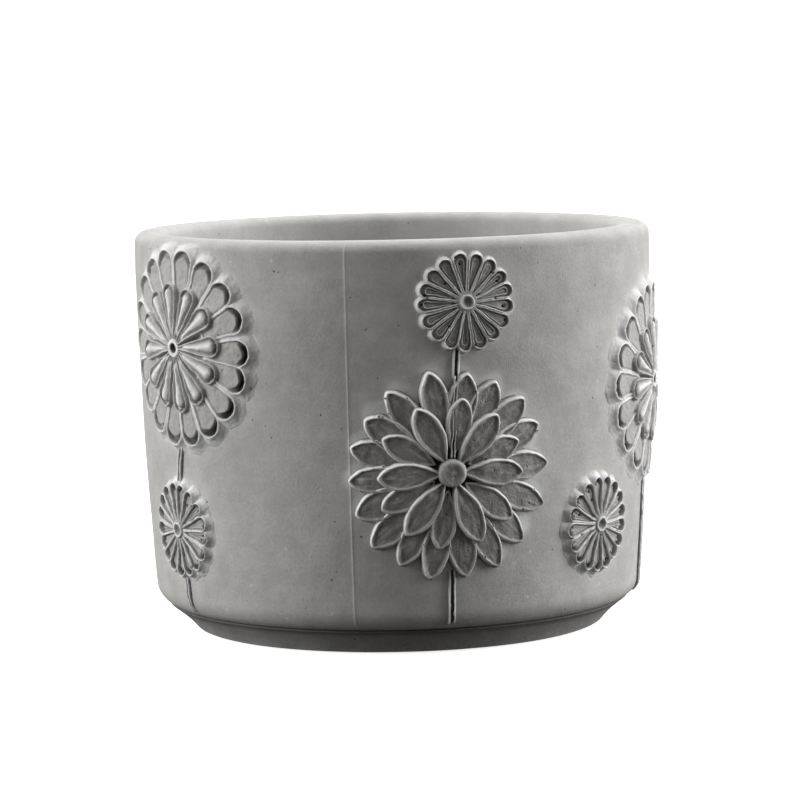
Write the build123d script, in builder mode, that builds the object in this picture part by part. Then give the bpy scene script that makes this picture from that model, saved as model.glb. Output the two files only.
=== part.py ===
from build123d import *

import os
from math import cos, radians, sin

# Round cast-cement flower pot with raised flowers around its wall, standing on a recessed tapered
# foot, with a plastic screen and a rubber plug over its drain hole.
# Millimetres. +Z is up. The origin is the centre of the base, on the surface the pot stands on.
# The front is -Y. An azimuth is counted from the front, towards +X.

# --- driving dimensions -------------------------------------------------------------------------
HEIGHT = 116.0
RIM_RADIUS = 75.0
MIDDLE_RADIUS = 74.1
MIDDLE_Z = 66.0
LOW_RADIUS = 71.3
LOW_Z = 14.0

WALL_THICKNESS = 9.0
FLOOR_THICKNESS = 11.0
BODY_BOTTOM_Z = 7.5
BODY_BOTTOM_RADIUS = 70.8
BOTTOM_CORNER_RADIUS = 6.5
CAVITY_CORNER_RADIUS = 10.0
OUTER_RIM_RADIUS = 3.2
INNER_RIM_RADIUS = 2.5

FOOT_TOP_RADIUS = 67.4
FOOT_BOTTOM_RADIUS = 60.2
FOOT_INNER_RADIUS = 46.0
FOOT_EDGE_RADIUS = 0.8

PAD_COUNT = 4
PAD_RADIUS = 4.5
PAD_CIRCLE_RADIUS = 52.5
PAD_THICKNESS = 2.4
PAD_STAND_OFF = 0.4
PAD_CLEARANCE = 0.2
PAD_EDGE = 0.3
FIRST_PAD_ANGLE = 45.0

DRAIN_HOLE_RADIUS = 7.2
DRAIN_HOLE_CHAMFER = 0.8

SCREEN_RADIUS = 22.0
SCREEN_THICKNESS = 1.2
SCREEN_BORE_RADIUS = 7.7
SCREEN_HOLE_RADIUS = 1.3
SCREEN_HOLE_RINGS = [(10.5, 12), (14.6, 18), (18.7, 24)]
SCREEN_EDGE = 0.3

PLUG_CLEARANCE = 0.08
PLUG_HEAD_RADIUS = 9.4
PLUG_HEAD_THICKNESS = 2.4
PLUG_HEAD_EDGE = 0.8
PLUG_END_Z = 5.0
PLUG_END_CHAMFER = 1.4
KNOB_RADIUS = 3.6
KNOB_HEIGHT = 5.6
KNOB_NECK_RADIUS = 2.4
KNOB_NECK_HEIGHT = 2.0

LARGE_FLOWER_RADIUS = 29.0
SMALL_FLOWER_RADIUS = 14.0
# A ring of petals: how many, angle of the first, root radius, tip radius, petal width.
POINTED_OUTER_RING = (18, 80.0, 7.0, LARGE_FLOWER_RADIUS, 6.5)
POINTED_INNER_RING = (12, 70.0, 3.0, 20.6, 5.6)
ROUNDED_OUTER_RING = (18, 90.0, 14.0, LARGE_FLOWER_RADIUS, 8.2)
ROUNDED_INNER_RING = (12, 75.0, 5.0, 18.7, 7.0)
SMALL_RING = (17, 98.0, 3.0, SMALL_FLOWER_RADIUS, 4.2)
POINTED_OUTER_CORE_RADIUS = 17.0
POINTED_INNER_CORE_RADIUS = 8.0
POINTED_BUTTON_RADIUS = 3.8
ROUNDED_BUTTON_RADIUS = 2.8
SMALL_BUTTON_RADIUS = 2.0
# How far each layer of a flower, and a stem, stands out from the wall.
OUTER_LAYER = 2.5
INNER_LAYER = 2.9
CENTRE_LAYER = 3.1
STEM_WIDTH = 2.0
STEM_LAYER = 0.9
STEM_GAP = 0.4
# A small flower within this many degrees of a large one shares its stem.
SMALL_COLUMN_SPREAD = 10.0

# Half of the slice of wall, about the front, on which a flower or stem is made before it is turned.
HALF_SLICE = 30.0

# --- one entry per flower: azimuth and height of its centre -------------------------------------
POINTED, ROUNDED = "pointed", "rounded"
LARGE_FLOWERS = {
    "front": (11.5, 52.3, POINTED),
    "right": (76.0, 71.5, ROUNDED),
    "rear_right": (156.1, 52.3, POINTED),
    "rear_left": (228.0, 71.5, ROUNDED),
    "left": (-53.0, 84.5, ROUNDED),
}
SMALL_FLOWERS = {
    "front": (15.2, 98.9),
    "right": (50.2, 33.6),
    "rear_right": (160.0, 98.9),
    "rear_left": (201.0, 33.6),
    "left": (-56.6, 33.5),
}


def wall_curve(shift):
    """The three points that set the barrel curve of the wall, moved outwards by shift."""
    return [(LOW_RADIUS + shift, LOW_Z), (MIDDLE_RADIUS + shift, MIDDLE_Z), (RIM_RADIUS + shift, HEIGHT)]


def on_wall(outline, layer):
    """Raise an outline, drawn as seen from the front, to the given height above the wall."""
    start = radians(-90.0 - HALF_SLICE)
    section = Plane(
        origin=(0, 0, 0),
        x_dir=(cos(start), sin(start), 0),
        z_dir=(sin(start), -cos(start), 0),
    )
    inner, outer = wall_curve(0), wall_curve(layer)
    with BuildPart() as raised:
        with BuildSketch(Plane.XZ):
            add(outline)
        extrude(amount=RIM_RADIUS + CENTRE_LAYER)
        with BuildSketch(section):
            with BuildLine():
                ThreePointArc(*inner)
                Line(inner[-1], outer[-1])
                ThreePointArc(*outer)
                Line(outer[0], inner[0])
            make_face()
        revolve(axis=Axis.Z, revolution_arc=2 * HALF_SLICE, mode=Mode.INTERSECT)
    return raised.part


def pointed_petals(count, first_angle, root, tip, width, core):
    """A ring of lens-shaped petals around a solid core."""
    middle = (root + tip) / 2
    with BuildSketch() as petal:
        with BuildLine():
            ThreePointArc((root, 0), (middle, width / 2), (tip, 0))
            ThreePointArc((root, 0), (middle, -width / 2), (tip, 0))
        make_face()
    with BuildSketch() as ring:
        Circle(core)
        with PolarLocations(0, count, first_angle):
            add(petal.sketch)
    return ring.sketch


def rounded_petals(count, first_angle, root, tip, width):
    """A ring of round-ended petals that meet over the middle of the flower."""
    with BuildSketch() as ring:
        Circle(root + width / 2)
        with PolarLocations((root + tip) / 2, count, first_angle):
            SlotOverall(tip - root, width)
    return ring.sketch


def flower(height, layers):
    """A flower on the front of the wall: each layer is an outline and how high it stands."""
    with BuildPart() as whole:
        for outline, layer in layers:
            with BuildSketch() as placed:
                with Locations((0, height)):
                    add(outline)
            add(on_wall(placed.sketch, layer))
    return whole.part


def button(radius):
    with BuildSketch() as disc:
        Circle(radius)
    return disc.sketch


def pointed_flower(height):
    outer = pointed_petals(*POINTED_OUTER_RING, POINTED_OUTER_CORE_RADIUS)
    inner = pointed_petals(*POINTED_INNER_RING, POINTED_INNER_CORE_RADIUS)
    centre = button(POINTED_BUTTON_RADIUS)
    return flower(height, [(outer, OUTER_LAYER), (inner, INNER_LAYER), (centre, CENTRE_LAYER)])


def rounded_flower(height):
    outer = rounded_petals(*ROUNDED_OUTER_RING)
    inner = rounded_petals(*ROUNDED_INNER_RING)
    centre = button(ROUNDED_BUTTON_RADIUS)
    return flower(height, [(outer, OUTER_LAYER), (inner, INNER_LAYER), (centre, CENTRE_LAYER)])


def small_flower(height):
    petals = rounded_petals(*SMALL_RING)
    return flower(height, [(petals, OUTER_LAYER), (button(SMALL_BUTTON_RADIUS), INNER_LAYER)])


def stem(spans):
    """Straight upright stem pieces on the front of the wall, one for each span of height."""
    with BuildPart() as pieces:
        for low, high in spans:
            with BuildSketch() as strip:
                with Locations((0, (low + high) / 2)):
                    RectangleRounded(STEM_WIDTH, high - low, STEM_WIDTH / 4)
            add(on_wall(strip.sketch, STEM_LAYER))
    return pieces.part


os.makedirs("parts", exist_ok=True)


def save(part, name):
    part.label = name
    export_step(part, f"parts/{name}.step")


# --- pot body: wall, floor and rim, one casting -------------------------------------------------
floor_z = BODY_BOTTOM_Z + FLOOR_THICKNESS
wall = wall_curve(0)
inside = wall_curve(-WALL_THICKNESS)
floor_share = (floor_z - LOW_Z) / (MIDDLE_Z - LOW_Z)
floor_radius = inside[0][0] + (inside[1][0] - inside[0][0]) * floor_share
with BuildPart() as pot_body:
    with BuildSketch(Plane.XZ) as section:
        with BuildLine():
            Polyline((0, HEIGHT), (0, BODY_BOTTOM_Z), (BODY_BOTTOM_RADIUS, BODY_BOTTOM_Z), wall[0])
            ThreePointArc(*wall)
            Line(wall[-1], (0, HEIGHT))
        make_face()
        with BuildLine():
            Polyline((0, HEIGHT), (0, floor_z), (floor_radius, floor_z))
            ThreePointArc((floor_radius, floor_z), inside[1], inside[2])
            Line(inside[2], (0, HEIGHT))
        make_face(mode=Mode.SUBTRACT)
        for corner, radius in (
            (wall[2], OUTER_RIM_RADIUS),
            (inside[2], INNER_RIM_RADIUS),
            ((floor_radius, floor_z), CAVITY_CORNER_RADIUS),
            ((BODY_BOTTOM_RADIUS, BODY_BOTTOM_Z), BOTTOM_CORNER_RADIUS),
        ):
            fillet(section.vertices().sort_by_distance(corner)[0], radius)
    revolve(axis=Axis.Z)
    with Locations((0, 0, floor_z)):
        Hole(DRAIN_HOLE_RADIUS)
    round_edges = pot_body.edges().filter_by(GeomType.CIRCLE)
    chamfer(round_edges.filter_by(lambda edge: edge.radius < SCREEN_RADIUS), DRAIN_HOLE_CHAMFER)
save(pot_body.part, "pot_body")


# --- foot: recessed ring under the body, narrower towards the ground, with pockets for the pads --
with BuildPart() as foot_ring:
    with BuildSketch(Plane.XZ) as section:
        with BuildLine():
            Polyline(
                (FOOT_INNER_RADIUS, PAD_STAND_OFF),
                (FOOT_BOTTOM_RADIUS, PAD_STAND_OFF),
                (FOOT_TOP_RADIUS, BODY_BOTTOM_Z),
                (FOOT_INNER_RADIUS, BODY_BOTTOM_Z),
                close=True,
            )
        make_face()
        bottom_corners = section.vertices().group_by(Axis.Y)[0]
        fillet(bottom_corners, FOOT_EDGE_RADIUS)
    revolve(axis=Axis.Z)
    with BuildSketch(Plane.XY.offset(PAD_STAND_OFF)):
        with PolarLocations(PAD_CIRCLE_RADIUS, PAD_COUNT, FIRST_PAD_ANGLE):
            Circle(PAD_RADIUS + PAD_CLEARANCE)
    extrude(amount=PAD_THICKNESS - PAD_STAND_OFF, mode=Mode.SUBTRACT)
save(foot_ring.part, "foot_ring")


# --- foot pads: soft discs in the pockets of the foot, standing slightly proud -------------------
with BuildPart() as foot_pads:
    with BuildSketch():
        with PolarLocations(PAD_CIRCLE_RADIUS, PAD_COUNT, FIRST_PAD_ANGLE):
            Circle(PAD_RADIUS)
    extrude(amount=PAD_THICKNESS)
    chamfer(foot_pads.edges().group_by(Axis.Z)[0], PAD_EDGE)
save(foot_pads.part, "foot_pads")


# --- drain screen: perforated disc lying on the floor around the drain hole ----------------------
with BuildPart() as drain_screen:
    with BuildSketch(Plane.XY.offset(floor_z)):
        Circle(SCREEN_RADIUS)
        Circle(SCREEN_BORE_RADIUS, mode=Mode.SUBTRACT)
    extrude(amount=SCREEN_THICKNESS)
    chamfer(drain_screen.edges().group_by(Axis.Z)[-1], SCREEN_EDGE)
    with BuildSketch(Plane.XY.offset(floor_z)):
        for ring_radius, holes in SCREEN_HOLE_RINGS:
            with PolarLocations(ring_radius, holes):
                Circle(SCREEN_HOLE_RADIUS)
    extrude(amount=SCREEN_THICKNESS, mode=Mode.SUBTRACT)
save(drain_screen.part, "drain_screen")


# --- drain plug: stem down the drain hole, head on the screen, pull knob on top ------------------
head_z = floor_z + SCREEN_THICKNESS
knob_z = head_z + PLUG_HEAD_THICKNESS
knob_top_z = knob_z + KNOB_NECK_HEIGHT + KNOB_HEIGHT
with BuildPart() as drain_plug:
    with BuildSketch(Plane.XZ) as section:
        with BuildLine():
            Polyline(
                (0, PLUG_END_Z),
                (DRAIN_HOLE_RADIUS - PLUG_CLEARANCE, PLUG_END_Z),
                (DRAIN_HOLE_RADIUS - PLUG_CLEARANCE, head_z),
                (PLUG_HEAD_RADIUS, head_z),
                (PLUG_HEAD_RADIUS, knob_z),
                (KNOB_NECK_RADIUS, knob_z),
                (KNOB_NECK_RADIUS, knob_z + KNOB_NECK_HEIGHT),
                (KNOB_RADIUS, knob_z + KNOB_NECK_HEIGHT),
                (KNOB_RADIUS, knob_top_z),
                (0, knob_top_z),
                close=True,
            )
        make_face()
        knob_rim = section.vertices().sort_by_distance((KNOB_RADIUS, knob_top_z))[0]
        head_rim = section.vertices().sort_by_distance((PLUG_HEAD_RADIUS, knob_z))[0]
        stem_rim = section.vertices().sort_by_distance((DRAIN_HOLE_RADIUS, PLUG_END_Z))[0]
        fillet(knob_rim, KNOB_RADIUS / 2)
        fillet(head_rim, PLUG_HEAD_EDGE)
        chamfer(stem_rim, PLUG_END_CHAMFER)
    revolve(axis=Axis.Z)
save(drain_plug.part, "drain_plug")


# --- flowers: raised on the wall, made at the front and turned to their azimuths -----------------
def turned(piece, azimuth):
    with BuildPart() as placed:
        add(piece, rotation=(0, 0, azimuth))
    return placed.part


for place, (azimuth, height, petals) in LARGE_FLOWERS.items():
    made = pointed_flower(height) if petals == POINTED else rounded_flower(height)
    save(turned(made, azimuth), f"large_flower_{place}")
for place, (azimuth, height) in SMALL_FLOWERS.items():
    save(turned(small_flower(height), azimuth), f"small_flower_{place}")


# --- stems: one node per column, broken where it meets a flower ----------------------------------
for place, (azimuth, height, _) in LARGE_FLOWERS.items():
    large_low = height - LARGE_FLOWER_RADIUS - STEM_GAP
    large_high = height + LARGE_FLOWER_RADIUS + STEM_GAP
    small_azimuth, small_height = SMALL_FLOWERS[place]
    small_low = small_height - SMALL_FLOWER_RADIUS - STEM_GAP
    small_high = small_height + SMALL_FLOWER_RADIUS + STEM_GAP
    same_column = abs(small_azimuth - azimuth) < SMALL_COLUMN_SPREAD
    if same_column and small_height > height:
        spans = [(LOW_Z, large_low), (large_high, small_low)]
    elif same_column:
        spans = [(LOW_Z, small_low), (small_high, large_low)]
    else:
        spans = [(LOW_Z, large_low)]
    save(turned(stem(spans), azimuth), f"stem_{place}")
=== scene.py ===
import math

import bmesh
import bpy
import numpy as np
from mathutils import Euler, Matrix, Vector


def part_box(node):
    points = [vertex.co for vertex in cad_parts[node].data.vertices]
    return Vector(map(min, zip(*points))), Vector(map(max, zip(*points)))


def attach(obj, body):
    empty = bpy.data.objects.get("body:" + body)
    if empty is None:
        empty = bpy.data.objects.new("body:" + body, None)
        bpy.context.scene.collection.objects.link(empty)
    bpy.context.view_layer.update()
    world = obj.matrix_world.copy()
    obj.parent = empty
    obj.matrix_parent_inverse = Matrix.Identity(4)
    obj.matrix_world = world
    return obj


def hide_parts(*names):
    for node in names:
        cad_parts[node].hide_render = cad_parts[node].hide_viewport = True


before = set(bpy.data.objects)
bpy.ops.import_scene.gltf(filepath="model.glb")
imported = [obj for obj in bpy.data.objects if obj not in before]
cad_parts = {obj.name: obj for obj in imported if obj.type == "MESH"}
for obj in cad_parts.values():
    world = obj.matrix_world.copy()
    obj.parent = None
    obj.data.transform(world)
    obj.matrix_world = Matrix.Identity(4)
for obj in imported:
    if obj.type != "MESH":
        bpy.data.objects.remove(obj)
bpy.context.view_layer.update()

# Looks of a round cast-cement flower pot with raised flowers. Shapes are worked out in millimetres,
# in the frame's own axes, and become metres when a mesh is made. Azimuths are counted in degrees from
# the front (-Y) towards +X. A flower's own x runs to its right along the wall and y runs up.

MM = 0.001
SEED = 11

# --- the pot's sizes: heights from the frame, radii as the CAD has them -------------------------
body_low, body_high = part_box("pot_body")
foot_low, foot_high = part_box("foot_ring")
screen_low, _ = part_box("drain_screen")
RIM_Z = body_high.z / MM
BOTTOM_Z = body_low.z / MM
FLOOR_Z = screen_low.z / MM
RIM_RADIUS = 75.0
MIDDLE_RADIUS, MIDDLE_Z = 74.1, 66.0
LOW_RADIUS, LOW_Z = 71.3, 14.0
WALL = 9.0
CORNER = 6.4
HOLE_RADIUS = 7.2


def wall_radius(z):
    """Radius of the outer wall at a height: a barrel curve through three rings, rounded in at the bottom."""
    low, mid, high = (LOW_Z, LOW_RADIUS), (MIDDLE_Z, MIDDLE_RADIUS), (RIM_Z, RIM_RADIUS)
    total = 0.0
    for (z0, r0), (z1, _), (z2, _) in ((low, mid, high), (mid, low, high), (high, low, mid)):
        total = total + r0 * (z - z1) * (z - z2) / ((z0 - z1) * (z0 - z2))
    below = np.clip(BOTTOM_Z + CORNER - z, 0, CORNER * 0.995)
    return total - CORNER + np.sqrt(CORNER**2 - below**2)


# --- smooth random values -----------------------------------------------------------------------
LATTICE_SIZE = 32
lattice = np.random.default_rng(SEED).random((LATTICE_SIZE,) * 3) * 2 - 1


def noise(points, size):
    """Smooth values from -1 to 1, one for each point, with bumps about size millimetres wide."""
    q = np.asarray(points) / size
    cell = np.floor(q).astype(int)
    f = q - cell
    f = f * f * (3 - 2 * f)
    total = 0.0
    for corner in np.ndindex(2, 2, 2):
        weight = np.prod(np.where(corner, f, 1 - f), axis=-1)
        i, j, k = np.moveaxis((cell + corner) % LATTICE_SIZE, -1, 0)
        total = total + weight * lattice[i, j, k]
    return total


def smoothstep(low, high, value):
    """From 0 at low to 1 at high, smoothly; low may be the larger of the two."""
    t = np.clip((value - low) / (high - low), 0, 1)
    return t * t * (3 - 2 * t)


def bump(value, middle, width):
    """1 at the middle, falling off smoothly on both sides of it."""
    return np.exp(-(((value - middle) / width) ** 2))


# --- meshes -------------------------------------------------------------------------------------
def make_object(name, points, faces, attributes=None, weld=0.0):
    """A smooth-shaded mesh object from points in millimetres, with named values at its points."""
    mesh = bpy.data.meshes.new(name)
    mesh.from_pydata((np.asarray(points) * MM).tolist(), [], faces)
    for key, values in (attributes or {}).items():
        layer = mesh.attributes.new(key, "FLOAT", "POINT")
        layer.data.foreach_set("value", np.asarray(values, np.float32))
    if weld:
        bm = bmesh.new()
        bm.from_mesh(mesh)
        bmesh.ops.remove_doubles(bm, verts=bm.verts, dist=weld * MM)
        bmesh.ops.recalc_face_normals(bm, faces=bm.faces)
        bm.to_mesh(mesh)
        bm.free()
    mesh.polygons.foreach_set("use_smooth", np.ones(len(mesh.polygons), bool))
    mesh.update()
    piece = bpy.data.objects.new(name, mesh)
    bpy.context.scene.collection.objects.link(piece)
    return piece


def grid_faces(rows, columns, start=0, close_rows=False):
    """Quads between rows of points that each close into a ring."""
    faces = []
    last = rows if close_rows else rows - 1
    for i in range(last):
        a, b = start + i * columns, start + (i + 1) % rows * columns
        for j in range(columns):
            k = (j + 1) % columns
            faces.append((a + j, a + k, b + k, b + j))
    return faces


def on_wall(x, y, height, azimuth, z):
    """Points above the wall, from a flower's own flat coordinates and heights."""
    level = z + y
    radius = wall_radius(level)
    turn = np.radians(azimuth) + x / RIM_RADIUS
    out = radius + height
    return np.stack([out * np.sin(turn), -out * np.cos(turn), level], -1)


def outwards(points):
    """Level unit vectors away from the pot's axis."""
    return points * (1, 1, 0) / np.hypot(points[..., 0], points[..., 1])[..., None]


def swelling(points):
    """How far the hand-cast wall stands out here or there."""
    return 0.16 * noise(points, 26.0) + 0.07 * noise(points + 70, 9.0) + 0.03 * noise(points + 30, 3.0) - 0.12


def weathered(points, jagged):
    """The same points, moved with the wall and pushed about a little as rough casting does."""
    rough = 0.1 * noise(points, 2.2) + 0.07 * noise(points + 50, 0.8) + 0.04 * noise(points + 20, 0.4)
    sway = np.stack([noise(points + 90, 3.0), noise(points + 140, 3.0), noise(points + 190, 3.0)], -1)
    nicks = np.stack([noise(points + 40, 1.1), noise(points + 240, 1.1), noise(points + 290, 1.1)], -1)
    return points + outwards(points) * (rough + swelling(points))[:, None] + 0.16 * sway + jagged * nicks


# --- petals -------------------------------------------------------------------------------------
# Points round a petal, how deep its sides go into the wall, and how far they spread on the way.
OUTLINE_POINTS = 110
FOOT_DEPTH = -0.35
DRAFT = 0.75
# How finely a stem is stepped along, and how often its bends are smoothed.
STEM_STEP = 0.5
STEM_SMOOTHINGS = 4
# How far the points of a relief are pushed about, and how near together they are welded.
RELIEF_JAGGED = 0.11
RELIEF_WELD = 0.004


def leaf(s):
    """Half-width of a pointed petal along its length, as a share of its widest."""
    return np.sin(np.pi * s**1.3) ** 0.62


def halo_dust(distance, width):
    """Pale dust on the wall round a flower, by distance from its petals."""
    return smoothstep(-0.1, 0.25, distance) * smoothstep(width, 0.15 * width, distance)


class Relief:
    """Collects raised shapes in a flower's flat coordinates, then wraps them on the wall as one mesh."""

    def __init__(self):
        self.points, self.faces, self.edge, self.deep = [], [], [], []
        self.count = 0

    def add(self, points, faces, edge, deep):
        """Adds a closed shape, with the edge and deep values at its points."""
        self.points.append(points)
        self.faces += [tuple(i + self.count for i in face) for face in faces]
        self.edge.append(edge)
        self.deep.append(deep)
        self.count += len(points)

    def petal(self, angle, root, tip, width, top, dish, rim, sink):
        """One leaf-shaped petal: a drafted side, a rounded rim, a dished face and a root that sinks."""
        turn = np.linspace(0, 2 * np.pi, OUTLINE_POINTS, endpoint=False)
        s = (1 - np.cos(turn)) / 2
        half = width / 2 * leaf(s)
        across = np.where(turn <= np.pi, 1, -1) * half
        along = root + s * (tip - root)
        inset = min(width * 0.5, (tip - root) * 0.45)
        spine = np.clip(along, root + inset, tip - inset * 0.9)
        reach = np.hypot(spine - along, across)
        section = [
            (-DRAFT, FOOT_DEPTH),
            (-DRAFT * 0.55, top * 0.45),
            (-DRAFT * 0.2, top - 0.6),
            (0.06, top - 0.15),
            (0.24, top),
            (0.24 + rim, top - 0.05),
            (0.4 + rim, top - dish * 0.7),
            (0.65 + rim, top - dish),
            (1.0 + rim, top - dish),
        ]
        offsets, heights = zip(*section)
        rings = [np.minimum(offset, reach * 0.8) for offset in offsets]
        inner = rings[-1]
        rings += [inner + (reach - inner) * share for share in (0.2, 0.4, 0.6, 0.8, 1.0)]
        cosine, sine = math.cos(math.radians(angle)), math.sin(math.radians(angle))
        away = np.stack([along - spine, across]) / np.maximum(reach, 1e-9)
        upward, leftward = away[0] * sine + away[1] * cosine, away[1] * sine - away[0] * cosine
        # Painted highlight: the pale rims are made paler on the sides that face up and, less, to the left, as
        # the light falls from above and the left.
        painted_highlight_weight = np.clip(0.74 + 0.42 * upward + 0.14 * leftward, 0.15, 1.2)
        points, edge, deep = [], [], []
        for inward in rings:
            step = np.where(reach > 1e-9, inward / np.maximum(reach, 1e-9), 0)
            x = along + (spine - along) * step
            y = across * (1 - step)
            h = np.interp(inward, offsets, heights)
            h = h - sink * smoothstep(root + 0.38 * (tip - root), root, x) * (h > 0)
            strokes = noise(np.stack([x * 0.2, y, np.full(len(x), angle)], -1), 0.55)
            strokes = strokes * smoothstep(0.4, 0.9, inward)
            points.append(np.stack([x, y, h + 0.08 * strokes], -1))
            edge.append(bump(inward, 0.06, 0.42) * painted_highlight_weight + 0.4 * np.clip(strokes, 0, 1))
            # Painted shade at the foot of the side, where it meets the wall; the face is made a little darker
            # too.
            deep.append(0.8 * smoothstep(-0.35, -DRAFT, inward) + 0.2 * smoothstep(0.6, 1.1, inward))
        x, y, h = np.concatenate(points).T
        turned = np.stack([x * cosine - y * sine, x * sine + y * cosine, h], -1)
        faces = grid_faces(len(rings), OUTLINE_POINTS)
        faces.append(tuple(range(OUTLINE_POINTS))[::-1])
        self.add(turned, faces, np.concatenate(edge), np.concatenate(deep))

    def button(self, profile, columns=64, centre=(0.0, 0.0)):
        """A round piece from a profile of radius, height, edge and deep values, rim to middle."""
        turn = np.linspace(0, 2 * np.pi, columns, endpoint=False)
        points, edge, deep = [], [], []
        for radius, height, light, dark in profile:
            x, y = centre[0] + radius * np.cos(turn), centre[1] + radius * np.sin(turn)
            points.append(np.stack([x, y, np.full(columns, height)], -1))
            edge.append(np.full(columns, light))
            deep.append(np.full(columns, dark))
        faces = grid_faces(len(profile), columns)
        faces.append(tuple(range(columns))[::-1])
        faces.append(tuple(range((len(profile) - 1) * columns, len(profile) * columns)))
        self.add(np.concatenate(points), faces, np.concatenate(edge), np.concatenate(deep))

    def channel(self, path, width=2.0):
        """A stem: two raised lips with a narrow channel between them, along a path of x, y, lift points."""
        path = np.asarray(path, float)
        steps = np.maximum(2, (np.hypot(*np.diff(path[:, :2], axis=0).T) / STEM_STEP).astype(int))
        stretches = [path[:1]]
        for a, b, n in zip(path[:-1], path[1:], steps):
            stretches.append(a + (b - a) * np.linspace(0, 1, n + 1)[1:, None])
        middle = np.concatenate(stretches)
        for _ in range(STEM_SMOOTHINGS):
            middle[1:-1] = (middle[:-2] + 2 * middle[1:-1] + middle[2:]) / 4
        forward = np.gradient(middle[:, :2], axis=0)
        forward /= np.hypot(*forward.T)[:, None]
        side = np.stack([-forward[:, 1], forward[:, 0]], -1)
        half = width / 2
        # Across the stem, height above its line (None is below the wall), edge and deep values; the deep
        # values are painted shade in the channel and along the lips' feet.
        section = [
            (-half - 0.25, None, 0, 0.7),
            (-half, 0.5, 0.5, 0.3),
            (-half * 0.74, 0.85, 1, 0),
            (-half * 0.5, 0.8, 0.8, 0.1),
            (-half * 0.34, 0.25, 0, 0.9),
            (half * 0.34, 0.25, 0, 0.9),
            (half * 0.5, 0.8, 0.8, 0.1),
            (half * 0.74, 0.85, 1, 0),
            (half, 0.5, 0.5, 0.3),
            (half + 0.25, None, 0, 0.7),
        ]
        points = np.stack([
            np.column_stack([
                middle[:, :2] + side * across,
                np.full(len(middle), FOOT_DEPTH) if height is None else middle[:, 2] + height,
            ])
            for across, height, _, _ in section
        ], 1)
        count = len(section)
        faces = grid_faces(len(middle), count)
        faces.append(tuple(range(count))[::-1])
        faces.append(tuple(range((len(middle) - 1) * count, len(middle) * count)))
        edge = np.tile([q[2] for q in section], len(middle))
        deep = np.tile([q[3] for q in section], len(middle))
        self.add(points.reshape(-1, 3), faces, edge, deep)

    def finish(self, name, azimuth, z):
        """The mesh object, wrapped on the wall about the given azimuth and height."""
        flat = np.concatenate(self.points)
        edge, deep = np.concatenate(self.edge), np.concatenate(self.deep)
        points = on_wall(flat[:, 0], flat[:, 1], flat[:, 2], azimuth, z)
        values = {"edge": edge, "deep": deep}
        return make_object(name, weathered(points, RELIEF_JAGGED), self.faces, values, weld=RELIEF_WELD)


def petal_angles(first, count, rng, jitter):
    """Directions of an evenly spaced ring of petals, each a little off its place, in degrees."""
    return first + np.arange(count) * 360 / count + rng.uniform(-jitter, jitter, count)


# Outer tips of the pointed flower, then its upper and lower inner petals, in degrees from its right.
OUTER_TIPS = (80, 62, 42, 25, 2, -21, -44, -63, -82, -102, -120, -138, -157, -176, -195, -213, -233, -258)
UPPER_TIPS = (50, 118, 183, 233, 292, 358)
LOWER_TIPS = (23, 81, 152, 207, 260, 322)
OUTER_ROOT = 9.0

# Profiles of round pieces: radius, height, edge and deep values, from the rim to the middle.
# The dome is painted dark at its foot and in its dished top: painted shade.
DOME = (
    (4.3, FOOT_DEPTH, 0, 1),
    (4.0, 2.3, 0, 0.9),
    (3.9, 3.1, 0.15, 0.3),
    (3.6, 3.55, 0.35, 0.1),
    (3.2, 3.85, 0.3, 0),
    (2.7, 3.95, 0.15, 0.1),
    (2.1, 3.8, 0.05, 0.2),
    (1.5, 3.6, 0, 0.35),
    (0.9, 3.6, 0, 0.25),
    (0.3, 3.7, 0.1, 0.1),
)
# The core under the petals is painted dark all over: painted shade between the petals.
CORE = ((15.0, FOOT_DEPTH, 0, 1), (14.6, 0.9, 0, 1), (14.0, 1.2, 0, 1), (7.0, 1.3, 0, 1), (0.5, 1.3, 0, 1))

# A burst bubble on a petal's rim, with radius and height in shares of its own size; its hollow is painted
# dark as the shade in it.
BUBBLE = (
    (1.5, -2.0, 0.3, 0),
    (1.3, 0.3, 0.8, 0),
    (1.0, 0.7, 1, 0),
    (0.75, 0.4, 0.6, 0.4),
    (0.6, -1.2, 0, 1),
    (0.1, -1.6, 0, 1),
)
BUBBLES = 30
BUBBLE_LEVEL = 2.1
BUBBLE_COLUMNS = 14


def pointed_flower(rng):
    """Rings of leaf-shaped petals round a domed button, with a few burst bubbles on the outer rims."""
    made = Relief()
    made.button(CORE)
    for angle in OUTER_TIPS:
        reach = 28.8 - math.sin(math.radians(angle)) + rng.uniform(-0.6, 0.6)
        width = 7.8 + rng.uniform(-0.5, 0.5)
        top = 2.2 + rng.uniform(-0.15, 0.15)
        rim = rng.uniform(0.26, 0.42)
        made.petal(angle, OUTER_ROOT, reach, width, top, dish=0.5, rim=rim, sink=1.3)
    for angle in LOWER_TIPS:
        reach = 21.2 + rng.uniform(-0.6, 0.8)
        made.petal(angle, 5.0, reach, width=7.0, top=2.85, dish=0.5, rim=0.32, sink=1.2)
    for angle in UPPER_TIPS:
        reach = 20.4 + rng.uniform(-0.6, 0.6)
        made.petal(angle, 3.0, reach, width=7.3, top=3.4, dish=0.55, rim=0.34, sink=0.8)
    for angle in rng.choice(OUTER_TIPS, BUBBLES):
        along = rng.uniform(0.45, 0.95)
        out, aside = OUTER_ROOT + along * 19.6, rng.choice((-1, 1)) * (4.0 * leaf(along) - 0.25)
        turn, size = math.radians(angle), rng.uniform(0.2, 0.38)
        place = (out * math.cos(turn) - aside * math.sin(turn), out * math.sin(turn) + aside * math.cos(turn))
        profile = [(r * size, BUBBLE_LEVEL + h * size, *values) for r, h, *values in BUBBLE]
        made.button(profile, BUBBLE_COLUMNS, place)
    made.button(DOME)
    return made


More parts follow.
